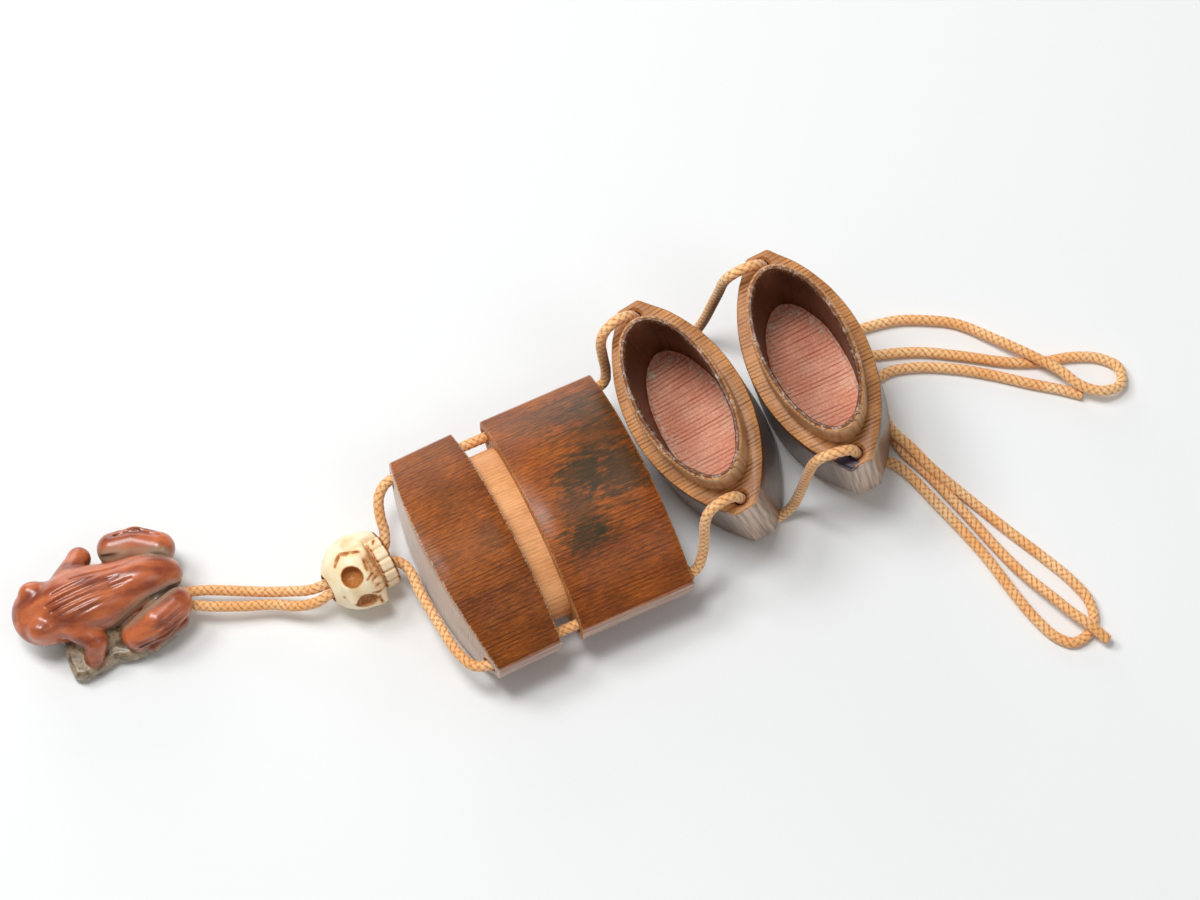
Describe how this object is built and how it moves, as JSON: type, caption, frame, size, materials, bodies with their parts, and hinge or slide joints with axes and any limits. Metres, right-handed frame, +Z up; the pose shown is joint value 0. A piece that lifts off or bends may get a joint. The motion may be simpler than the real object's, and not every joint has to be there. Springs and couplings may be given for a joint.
{
  "type": "segmented inro case with cord bead and toggle",
  "caption": "Lens-section wooden inro case, opened out: domed lid, stacking cases with oval risers, carved skull bead, frog toggle, all strung on one soft braided cord.",
  "frame": {"origin": "on the surface that the object lies on, under the middle of the footprint of everything but the free cord", "axes": "+Z up; +X along the string of opened pieces, from the frog toggle at -X past the skull bead, lid and upper case to the bottom case at +X; +Y towards the far cord channels"},
  "size_m": [0.2462, 0.1127, 0.0399],
  "materials": {
    "case_wood": "polished red-brown lacquered wood, bare tan wood on the risers and insides",
    "skull_ivory": "polished cream bone, brown stain in the hollows",
    "frog_wood": "polished red-brown wood, dark in the carved grooves",
    "cord_silk": "matte braided silk"
  },
  "bodies": {
    "root": {"lid": "case_wood", "case_upper": "case_wood", "case_middle": "case_wood", "case_bottom": "case_wood", "ojime_skull": "skull_ivory", "netsuke_frog": "frog_wood", "cord": "cord_silk"}
  },
  "joints": []
}
